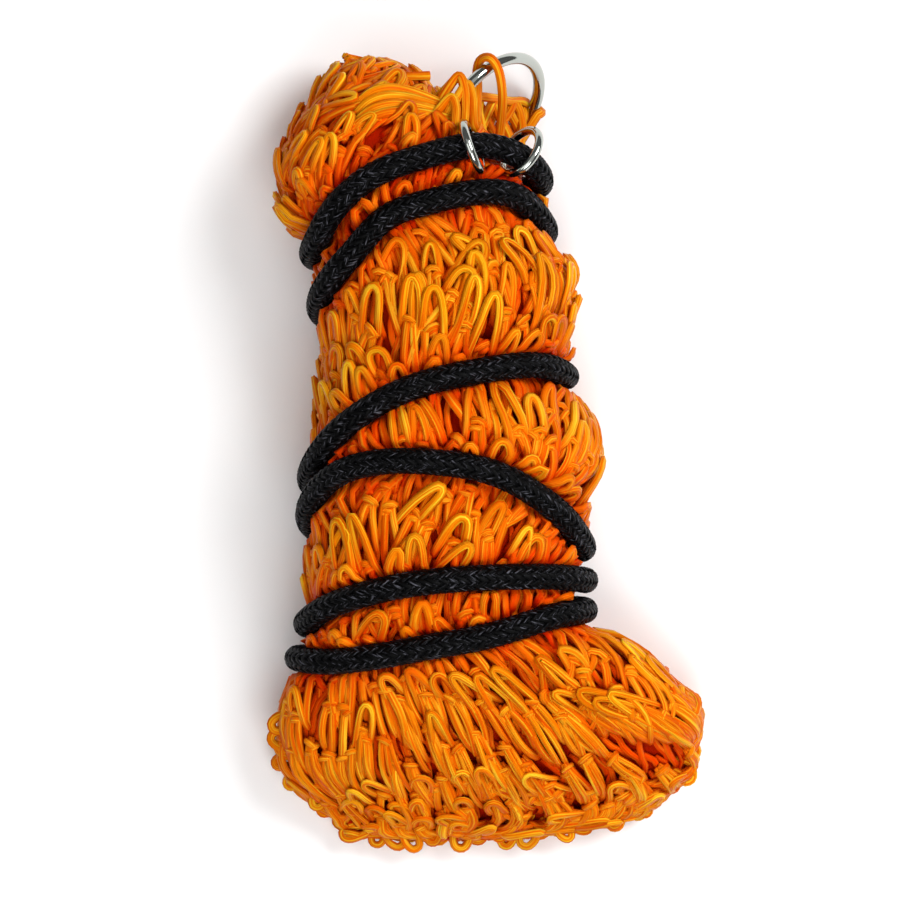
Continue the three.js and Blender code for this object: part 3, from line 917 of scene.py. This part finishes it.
def braided_polypropylene():
    """Black polypropylene multifilament: each strand of the braid is fine fibres with a dull sheen and
    painted grey glints.
    """
    material, shader = new_material("braided_polypropylene")
    if shader is None:
        return material
    colour = settings().cord_colour
    uv = add_node(material, "ShaderNodeUVMap", uv_map="strand")
    # Single fibres are too fine to show, so they are drawn as coarse tufts.
    fibres_round, fibre_length = 9, 0.004
    fine = add_node(
        material, "ShaderNodeMapping",
        {"Vector": uv.outputs["UV"], "Scale": (fibres_round, 1 / fibre_length, 1)},
    )
    fibre = add_node(
        material, "ShaderNodeTexNoise", {"Vector": fine.outputs["Vector"], "Scale": 1.0, "Detail": 3.0},
        noise_dimensions="2D",
    )
    # The fibre tufts are partly their own tone: the dark end is the black fibre and the light end a painted
    # grey glint.
    ramp = add_node(material, "ShaderNodeValToRGB", {"Fac": fibre.outputs["Fac"]})
    ramp.color_ramp.elements[0].position = 0.60
    ramp.color_ramp.elements[0].color = shade(colour, 0.5)
    ramp.color_ramp.elements[1].position = 0.76
    ramp.color_ramp.elements[1].color = shade(colour, 60.0)
    rough = add_node(
        material, "ShaderNodeMapRange", {"Value": fibre.outputs["Fac"], "To Min": 0.40, "To Max": 0.62}
    )
    ridge = add_node(
        material, "ShaderNodeBump", {"Height": fibre.outputs["Fac"], "Strength": 0.6, "Distance": 0.0003}
    )
    links = material.node_tree.links
    links.new(ramp.outputs["Color"], shader.inputs["Base Color"])
    links.new(rough.outputs["Result"], shader.inputs["Roughness"])
    links.new(ridge.outputs["Normal"], shader.inputs["Normal"])
    shader.inputs["Specular IOR Level"].default_value = 0.06
    return material


def bright_plated_steel():
    """Polished and plated steel wire: mirror bright, with faint drawing marks and handling haze."""
    material, shader = new_material("bright_plated_steel")
    if shader is None:
        return material
    place = add_node(material, "ShaderNodeTexCoord")
    haze_size = 0.004
    haze = add_node(
        material, "ShaderNodeTexNoise",
        {"Vector": place.outputs["Object"], "Scale": 1 / haze_size, "Detail": 4.0},
    )
    rough = add_node(
        material, "ShaderNodeMapRange", {"Value": haze.outputs["Fac"], "To Min": 0.05, "To Max": 0.16}
    )
    ripple_size = 0.0025
    ripple = add_node(
        material, "ShaderNodeTexNoise",
        {"Vector": place.outputs["Object"], "Scale": 1 / ripple_size, "Detail": 1.0},
    )
    bump = add_node(
        material, "ShaderNodeBump", {"Height": ripple.outputs["Fac"], "Strength": 0.08, "Distance": 0.0002}
    )
    links = material.node_tree.links
    links.new(rough.outputs["Result"], shader.inputs["Roughness"])
    links.new(bump.outputs["Normal"], shader.inputs["Normal"])
    shader.inputs["Base Color"].default_value = (*settings().ring_colour, 1)
    shader.inputs["Metallic"].default_value = 1.0
    return material


def matt_white_laminate():
    """White laminate table top: matt, with the least unevenness in its sheen."""
    material, shader = new_material("matt_white_laminate")
    if shader is None:
        return material
    place = add_node(material, "ShaderNodeTexCoord")
    grain_size = 0.003
    grain = add_node(
        material, "ShaderNodeTexNoise",
        {"Vector": place.outputs["Object"], "Scale": 1 / grain_size, "Detail": 2.0},
    )
    rough = add_node(
        material, "ShaderNodeMapRange", {"Value": grain.outputs["Fac"], "To Min": 0.55, "To Max": 0.7}
    )
    material.node_tree.links.new(rough.outputs["Result"], shader.inputs["Roughness"])
    shader.inputs["Base Color"].default_value = (*linear("FAFAFA"), 1)
    return material


class HAYNET_OT_stage(bpy.types.Operator):
    """Makes the camera straight above the bundle, the white table and the soft lights"""

    bl_idname = "haynet.stage"
    bl_label = "Stage"

    VIEW_CENTRE = (-0.0128, -0.0017, 0.030)
    VIEW_WIDTH = 0.3374
    CAMERA_DISTANCE = 1.9
    SENSOR_WIDTH = 36
    CLIP_END = 20
    WORLD_STRENGTH = 0.14
    TABLE_SIZE = 6.0
    # Each light's name, place and size in metres, and power in watts.
    LIGHTS = (
        ("key", (0.70, 0.45, 0.90), 0.6, 13.0),
        ("fill", (-0.6, -0.2, 1.1), 0.8, 2.8),
        ("front", (0.1, -0.6, 0.85), 0.6, 5.4),
        ("overhead", (0.0, 0.0, 2.6), 3.2, 15.0),
    )

    def execute(self, context):
        camera = bpy.data.cameras.new("camera")
        camera.sensor_width = self.SENSOR_WIDTH
        camera.lens = self.SENSOR_WIDTH * self.CAMERA_DISTANCE / self.VIEW_WIDTH
        camera.clip_end = self.CLIP_END
        eye = bpy.data.objects.new("camera", camera)
        x, y, z = self.VIEW_CENTRE
        eye.location = (x, y, z + self.CAMERA_DISTANCE)
        context.scene.collection.objects.link(eye)
        context.scene.camera = eye
        for name, place, size, power in self.LIGHTS:
            lamp = bpy.data.lights.new(name, "AREA")
            lamp.size = size
            lamp.energy = power
            shown = bpy.data.objects.new(name, lamp)
            shown.location = place
            shown.rotation_euler = Vector(place).to_track_quat("Z", "Y").to_euler()
            context.scene.collection.objects.link(shown)
        world = bpy.data.worlds.new("studio")
        world.use_nodes = True
        sky = world.node_tree.nodes["Background"]
        sky.inputs["Color"].default_value = (*linear("FFFFFF"), 1)
        sky.inputs["Strength"].default_value = self.WORLD_STRENGTH
        context.scene.world = world
        context.scene.view_settings.view_transform = "Standard"
        shape = bmesh.new()
        bmesh.ops.create_grid(shape, x_segments=2, y_segments=2, size=self.TABLE_SIZE / 2)
        mesh = bpy.data.meshes.new("table_top")
        shape.to_mesh(mesh)
        shape.free()
        mesh.materials.append(matt_white_laminate())
        table = bpy.data.objects.new("table_top", mesh)
        context.scene.collection.objects.link(table)
        return {"FINISHED"}


class HAYNET_OT_rings(bpy.types.Operator):
    """Makes the hanging ring and the two small rings on the cord, of round plated wire"""

    bl_idname = "haynet.rings"
    bl_label = "Rings"

    WIRE_SIDES = 20
    STEPS = 96

    def execute(self, context):
        for name, (centre, axis, radius, wire) in ring_poses().items():
            shape = bmesh.new()
            made = bmesh.ops.create_circle(shape, segments=self.WIRE_SIDES, radius=wire * MM)
            upright = Matrix.Translation((radius * MM, 0, 0)) @ Matrix.Rotation(math.pi / 2, 4, "X")
            bmesh.ops.transform(shape, matrix=upright, verts=made["verts"])
            bmesh.ops.spin(
                shape, geom=shape.verts[:] + shape.edges[:], cent=(0, 0, 0), axis=(0, 0, 1),
                angle=2 * math.pi, steps=self.STEPS, use_merge=True,
            )
            bmesh.ops.recalc_face_normals(shape, faces=shape.faces[:])
            turn = axis.to_track_quat("Z", "Y").to_matrix().to_4x4()
            bmesh.ops.transform(
                shape, matrix=Matrix.Translation(Vector(centre) * MM) @ turn, verts=shape.verts[:]
            )
            for face in shape.faces:
                face.smooth = True
            mesh = bpy.data.meshes.new(f"{name}_wire")
            shape.to_mesh(mesh)
            shape.free()
            mesh.materials.append(bright_plated_steel())
            piece = bpy.data.objects.new(f"{name}_wire", mesh)
            context.scene.collection.objects.link(piece)
            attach(piece, "root")
            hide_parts(name)
        return {"FINISHED"}


class HAYNET_OT_drawcord(bpy.types.Operator):
    """Braids the drawcord of twenty-four strands, two over two, along its route round the bundle"""

    bl_idname = "haynet.drawcord"
    bl_label = "Drawcord"

    STRANDS_EACH_WAY = 12
    STRAND_WIDTH = 2.25
    STRAND_THICKNESS = 1.15
    WEAVE_DEPTH = 0.36
    STRAND_SIDES = 4
    CORE_SIDES = 8
    CORE_SHARE = 0.76
    CORE_STEP = 4
    PATH_STEP = 4

    def execute(self, context):
        route = CordRoute()
        size = settings()
        radius = size.cord_diameter / MM / 2
        ways = (("drawcord_braid", 1), ("drawcord_counter", -1))
        braids = [self.braid(name, way, route) for name, way in ways]
        core = 2 * radius * self.CORE_SHARE
        heart = sweep(
            "drawcord_heart", route.centre[None, :: self.CORE_STEP], route.out[None, :: self.CORE_STEP],
            core, core, self.CORE_SIDES, braided_polypropylene(),
        )
        for piece in (*braids, heart):
            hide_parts("drawcord")
        return {"FINISHED"}

    def braid(self, name, way, route):
        """The strands that go one way round the cord, each over two of the others and under two."""
        size = settings()
        turns = route.distance / (size.braid_lay / MM)
        middle = size.cord_diameter / MM / 2 - self.WEAVE_DEPTH - self.STRAND_THICKNESS / 2
        paths, outs = [], []
        for strand in range(self.STRANDS_EACH_WAY):
            angle = 2 * math.pi * (strand / self.STRANDS_EACH_WAY + way * turns)
            lift = way * self.WEAVE_DEPTH * np.cos(self.STRANDS_EACH_WAY / 2 * angle)
            out = np.cos(angle)[:, None] * route.out + np.sin(angle)[:, None] * route.side
            paths.append(route.centre + (middle + lift)[:, None] * out)
            outs.append(out)
        return sweep(
            name, np.array(paths), np.array(outs), self.STRAND_WIDTH, self.STRAND_THICKNESS,
            self.STRAND_SIDES, braided_polypropylene(),
        )


class HAYNET_OT_inner_net(bpy.types.Operator):
    """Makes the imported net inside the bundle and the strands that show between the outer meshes"""

    bl_idname = "haynet.inner_net"
    bl_label = "Inner net"

    DEPTH = 5.6
    DEPTH_SHARE = 0.03
    HALF_WALL = 0.4
    FIRST_ROW = 9
    ROW_STEP = 4
    COLUMN_STEP = 6
    STRANDS_A_COLUMN = 0.7
    LEG_SAMPLES = 8
    LEG_SIDES = 4
    LEG_WAVE = (1.6, 1.0, 1.0)
    LEG_LEAN_SPREAD = 10
    LEGS_FROM_TO = (144.5, -138)
    LEG_PITCHES = (13.0, 6.2)
    FIRST_STRAND = 5000

    def execute(self, context):
        last = len(skin.down) - 1
        rows = np.append(np.arange(self.FIRST_ROW, last - self.ROW_STEP, self.ROW_STEP), last)
        grid = skin.points[rows][:, : skin.COLUMNS : self.COLUMN_STEP]
        out = skin.out[rows][:, : skin.COLUMNS : self.COLUMN_STEP]
        room = np.minimum(self.DEPTH, self.DEPTH_SHARE * skin.around[rows])[:, None, None]
        points = give_way(grid - out * room, self.HALF_WALL)
        count, columns = points.shape[:2]
        index = np.arange(count * columns).reshape(count, columns)
        following = np.roll(index, -1, axis=1)
        walls = np.stack([index[:-1], index[1:], following[1:], following[:-1]], axis=-1).reshape(-1, 4)
        j = np.arange(columns // 2)
        strip = np.stack([j, (columns - j) % columns, columns - 1 - j, j + 1], axis=1)[1:-1]
        ends = np.concatenate([index[0][strip[:, ::-1]], index[-1][strip]])
        faces = np.concatenate([walls, ends])[:, ::-1]
        u = np.broadcast_to(np.arange(columns) * self.STRANDS_A_COLUMN, index.shape).ravel()
        v = np.broadcast_to((skin.down[rows] * MM)[:, None], index.shape).ravel()
        uv = np.stack([u[faces], v[faces]], axis=-1)
        # The packed inside stands in for the inner layers of net and lies at the full depth, so it takes the
        # twine's darkest painted shade and glow.
        heights = np.full(index.size, -self.DEPTH)
        twine = polyethylene_twine()
        net_piece(mesh_piece("net_packed_inside", points.reshape(-1, 3), faces, uv, twine, heights))
        size = settings()
        draw = np.random.default_rng(size.seed)
        down, share = mesh_places(*self.LEGS_FROM_TO, *self.LEG_PITCHES, draw)
        local = along_spline(np.broadcast_to(INNER_LEG, (len(down), len(INNER_LEG), 3)), self.LEG_SAMPLES)
        local = local * np.array(self.LEG_WAVE)
        lean = lean_at(down, share) + draw.normal(0, self.LEG_LEAN_SPREAD, len(down))
        paths, outs = lay_on_skin(down, share, lean, local)
        thickness = size.twine_thickness / MM
        paths = give_way(paths, thickness / 2)
        net_piece(
            sweep(
                "net_inner_strands", paths, outs, size.twine_width / MM, thickness, self.LEG_SIDES, twine,
                self.FIRST_STRAND, local[..., 2],
            )
        )
        return {"FINISHED"}


class Band(NamedTuple):
    """A stretch of the bundle and how its net lies there, as shares of the usual pitches and sizes.

    The hairpins are the share of knots that have one, and the sink is in millimetres.
    """

    name: str
    first_y: float
    last_y: float
    row: float
    column: float
    hairpins: float
    height: float
    strands: tuple
    length: float
    spread: float
    knot: float
    unevenness: float
    width: float
    sink: float


class HAYNET_OT_knotted_net(bpy.types.Operator):
    """Makes the knots of the net with their slack meshes above them and their strands below"""

    bl_idname = "haynet.knotted_net"
    bl_label = "Knotted net"

    HAIRPIN_SAMPLES = 17
    LEG_SAMPLES = 10
    KNOT_SAMPLES = 7
    SIDES = 10
    KNOT_SIDES = 6
    HOOK = 0.9
    HOOK_LENGTH = 16.0
    TWIST = 0.28
    TWIST_ALONG = 0.35
    WIDTHS = (0.85, 1.1)
    STRAND_NUMBERS = 9000
    # Least and most sizes as shares of the usual, and how far leans and heights spread.
    LEAN_SPREAD = 7
    HAIRPIN_WIDTHS = (0.7, 1.3)
    HAIRPIN_LENGTHS = (0.6, 1.25)
    HAIRPIN_FLATNESS = 0.6
    HAIRPIN_HEIGHT_SPREAD = 0.6
    HAIRPIN_LEAN_SPREAD = 12
    LEG_WIDTHS = (0.5, 1.3)
    LEG_LENGTHS = (0.85, 1.15)
    LEG_HEIGHT_SPREAD = 0.35
    LEG_LEAN_SPREAD = 5
    KNOT_SIZES = (0.78, 1.12)
    KNOT_LEAN_SPREAD = 24
    BANDS = (
        Band(
            "head", 144.8, 82, row=0.78, column=0.78, hairpins=0.6, height=0.78, strands=LEGS, length=1.1,
            spread=0.7, knot=0.75, unevenness=1.0, width=0.88, sink=1.0,
        ),
        Band(
            "body", 82, -80, row=1.0, column=0.96, hairpins=0.85, height=1.0, strands=LEGS, length=1.0,
            spread=1.0, knot=0.95, unevenness=0.95, width=0.96, sink=0.0,
        ),
        Band(
            "skirt_top", -82, -100, row=0.8, column=0.85, hairpins=0.6, height=0.95, strands=RIBBON[::2],
            length=0.85, spread=1.0, knot=0.9, unevenness=0.5, width=0.9, sink=0.0,
        ),
        Band(
            "skirt", -99, -134, row=1.35, column=0.7, hairpins=0.1, height=0.8, strands=RIBBON, length=0.95,
            spread=0.95, knot=0.8, unevenness=0.45, width=0.78, sink=0.0,
        ),
        Band(
            "skirt_end", -126, -144, row=0.8, column=0.85, hairpins=0.6, height=0.65, strands=LEGS,
            length=0.7, spread=0.9, knot=0.8, unevenness=1.5, width=0.85, sink=0.3,
        ),
    )
    RIM_Y = -92.0
    RIM_PITCH = 6.0
    RIM_SPREAD = 5.0
    RIM_REACH = (-1.6, 2.4)
    RIM_SAMPLES = 19
    # The height given to the rim loops for the twine's painted depth shade, in millimetres.
    RIM_HEIGHT = 3.0
    RIM_WIDTH = 0.9
    RIM_STAGGER = (0.1, 0.9)
    RIM_SIZES = (0.75, 1.3)
    RIM_SWING_SPREAD = 22
    RIM_AHEAD = 4
    RIM_CENTRE = (0.0, -90.0, 0.0)

    def execute(self, context):
        draw = np.random.default_rng(settings().seed + 1)
        for band in self.BANDS:
            self.band(draw, band)
        self.rim(draw)
        return {"FINISHED"}

    def band(self, draw, band):
        """Makes one band of knots, with hairpins above some of them and strands below each."""
        size = settings()
        row, column = band.row * size.row_pitch / MM, band.column * size.column_pitch / MM
        down, share = mesh_places(band.first_y, band.last_y, row, column, draw)
        count = len(down)
        uneven = band.unevenness
        stray = lean_noise(down, share) + draw.normal(0, self.LEAN_SPREAD, count)
        lean = lean_at(down, share) + uneven * stray
        drawn_open = draw.random(count)[:, None, None]
        pins = np.array(HAIRPIN) * (1 - drawn_open) + np.array(OPEN_HAIRPIN) * drawn_open
        pins = along_spline(pins, self.HAIRPIN_SAMPLES)
        side = draw.choice((-1, 1), count)
        pins[..., 0] *= (side * draw.uniform(*self.HAIRPIN_WIDTHS, count) * band.spread)[:, None]
        hook = draw.normal(0, uneven * self.HOOK, count)
        pins[..., 0] += hook[:, None] * (pins[..., 1] / self.HOOK_LENGTH) ** 2
        pins[..., 1] *= (draw.uniform(*self.HAIRPIN_LENGTHS, count) * band.height)[:, None]
        pins[..., 2] *= self.HAIRPIN_FLATNESS + (1 - self.HAIRPIN_FLATNESS) * band.height
        pins[..., 2] += draw.normal(-band.sink, self.HAIRPIN_HEIGHT_SPREAD, count)[:, None]
        slack = draw.random(count) < band.hairpins
        turned = lean + uneven * draw.normal(0, self.HAIRPIN_LEAN_SPREAD, count)
        places = down[slack], share[slack]
        self.lay(f"net_loops_{band.name}", [(pins[slack], turned[slack])], *places, draw, band.width)
        legs = []
        for leg in band.strands:
            local = self.curves(leg, count, self.LEG_SAMPLES)
            local[..., 0] *= (draw.uniform(*self.LEG_WIDTHS, count) * band.spread)[:, None]
            hook = draw.normal(0, uneven * self.HOOK, count)
            local[..., 0] += hook[:, None] * (local[..., 1] / self.HOOK_LENGTH) ** 2
            local[..., 1] *= (draw.uniform(*self.LEG_LENGTHS, count) * band.length)[:, None]
            local[..., 2] += draw.normal(-band.sink, self.LEG_HEIGHT_SPREAD, count)[:, None]
            legs.append((local, lean + uneven * draw.normal(0, self.LEG_LEAN_SPREAD, count)))
        self.lay(f"net_legs_{band.name}", legs, down, share, draw, band.width)
        bars = []
        for bar in KNOT_BARS:
            local = self.curves(bar, count, self.KNOT_SAMPLES)
            local = local * (band.knot * draw.uniform(*self.KNOT_SIZES, count))[:, None, None]
            local[..., 2] -= band.sink
            bars.append((local, lean + draw.normal(0, self.KNOT_LEAN_SPREAD, count)))
        self.lay(f"net_knots_{band.name}", bars, down, share, draw, band.width, self.KNOT_SIDES)

    def rim(self, draw):
        """Makes the slack meshes that hang out over the skirt's rim, all along its outline."""
        rows = np.arange(int(skin.down_at(self.RIM_Y)), len(skin.down))
        widest = skin.points[rows]
        right = widest[np.arange(len(rows)), widest[..., 0].argmax(1)]
        left = widest[np.arange(len(rows)), widest[..., 0].argmin(1)]
        outline = np.concatenate([right, left[::-1]])
        distance = np.concatenate([[0], np.cumsum(np.linalg.norm(np.diff(outline, axis=0), axis=1))])
        count = int(distance[-1] / self.RIM_PITCH)
        place = (np.arange(count) + draw.uniform(*self.RIM_STAGGER, count)) * self.RIM_PITCH
        base, ahead = (
            np.stack([np.interp(at, distance, outline[:, i]) for i in range(3)], axis=1)
            for at in (place, place + self.RIM_AHEAD)
        )
        along = unit((ahead - base) * np.array([1.0, 1.0, 0.0]))
        up = np.broadcast_to(np.array([0.0, 0.0, 1.0]), along.shape)
        outward = np.cross(along, up)
        outward *= np.sign((outward * (base - np.array(self.RIM_CENTRE))).sum(1, keepdims=True))
        base = base + up * draw.uniform(-self.RIM_SPREAD, self.RIM_SPREAD, count)[:, None]
        base = base + outward * draw.uniform(*self.RIM_REACH, count)[:, None]
        swing = np.radians(draw.normal(0, self.RIM_SWING_SPREAD, count))[:, None]
        across = along * np.cos(swing) + outward * np.sin(swing)
        ways = np.stack([across, outward * np.cos(swing) - along * np.sin(swing), up], axis=1)
        loops = self.curves(RIM_LOOP, count, self.RIM_SAMPLES)
        loops = loops * draw.uniform(*self.RIM_SIZES, count)[:, None, None]
        paths = base[:, None] + np.einsum("psk,pkx->psx", loops, ways)
        outs = np.broadcast_to(up[:, None], paths.shape)
        self.twine("net_rim_loops", paths, outs, draw, self.RIM_WIDTH, self.SIDES, self.RIM_HEIGHT)

    def curves(self, controls, count, samples):
        """A number of like curves through the control points."""
        return along_spline(np.broadcast_to(controls, (count, len(controls), 3)), samples)

    def lay(self, name, strands, down, share, draw, width, sides=SIDES):
        """Lays each set of local curves at the places and sweeps the twine along them."""
        laid = [lay_on_skin(down, share, lean, local) for local, lean in strands]
        paths = np.concatenate([points for points, _ in laid])
        outs = np.concatenate([out for _, out in laid])
        heights = np.concatenate([local[..., 2] for local, _ in strands])
        self.twine(name, paths, outs, draw, width, sides, heights)

    def twine(self, name, paths, outs, draw, share_of_width, sides, heights):
        """Sweeps twine of uneven width and twist along the paths, clear of the cord and the rings."""
        size = settings()
        thickness = size.twine_thickness / MM
        paths = give_way(paths, thickness / 2)
        # Twine near the cord is given painted shade: it counts as lying deeper, so its colour is darker and
        # redder.
        heights = heights - painted_cord_shade(paths)
        strands, count = paths.shape[:2]
        width = share_of_width * size.twine_width / MM * draw.uniform(*self.WIDTHS, strands)
        first = int(draw.integers(0, self.STRAND_NUMBERS))
        twist = draw.normal(0, self.TWIST, (strands, 1))
        twist = twist + draw.normal(0, self.TWIST_ALONG, (strands, 1)) * np.linspace(-1, 1, count)
        material = polyethylene_twine()
        net_piece(sweep(name, paths, outs, width, thickness, sides, material, first, heights, twist))


class HAYNET_OT_ring_meshes(bpy.types.Operator):
    """Makes the end meshes of the net that hold the hanging ring and the long strands over the head"""

    bl_idname = "haynet.ring_meshes"
    bl_label = "Ring meshes"

    SAMPLES = 40
    SIDES = 10
    OUT = (0.25, 0.2, 0.95)
    # The height given to these strands for the twine's painted depth shade, in millimetres.
    HEIGHT = 3.0
    FIRST_STRAND = 30000

    def execute(self, context):
        size = settings()
        thickness = size.twine_thickness / MM
        steps = np.linspace(*HEAD_SWEEP_STEPS, len(HEAD_SWEEP))
        sweeps = tuple(np.add(HEAD_SWEEP, strand * steps) for strand in range(HEAD_SWEEP_STRANDS))
        strands = RING_MESHES + RING_WEB + RING_BUNDLE + sweeps + (CUT_END,)
        paths = np.concatenate([along_spline([points], self.SAMPLES) for points in strands])
        paths = give_way(paths, thickness / 2)
        outs = np.broadcast_to(np.array(self.OUT), paths.shape)
        net_piece(
            sweep(
                "net_end_meshes", paths, outs, size.twine_width / MM, thickness, self.SIDES,
                polyethylene_twine(), self.FIRST_STRAND, self.HEIGHT,
            )
        )
        return {"FINISHED"}


class HAYNET_PT_panel(bpy.types.Panel):
    """Lists the sizes, the colours and the steps of the build"""

    bl_idname = "HAYNET_PT_panel"
    bl_label = "Hay net"
    bl_space_type = "VIEW_3D"
    bl_region_type = "UI"
    bl_category = "Hay net"

    def draw(self, context):
        for name in HayNetSettings.__annotations__:
            self.layout.prop(context.scene.hay_net, name)
        for step in STEPS:
            self.layout.operator(step.bl_idname)


STEPS = (
    HAYNET_OT_stage,
    HAYNET_OT_rings,
    HAYNET_OT_drawcord,
    HAYNET_OT_inner_net,
    HAYNET_OT_knotted_net,
    HAYNET_OT_ring_meshes,
)
CLASSES = (HayNetSettings, *STEPS, HAYNET_PT_panel)


def register():
    for made in CLASSES:
        bpy.utils.register_class(made)
    bpy.types.Scene.hay_net = PointerProperty(type=HayNetSettings)


def unregister():
    del bpy.types.Scene.hay_net
    for made in reversed(CLASSES):
        bpy.utils.unregister_class(made)


def main():
    register()
    for step in STEPS:
        family, name = step.bl_idname.split(".")
        getattr(getattr(bpy.ops, family), name)()


if __name__ == "__main__":
    main()
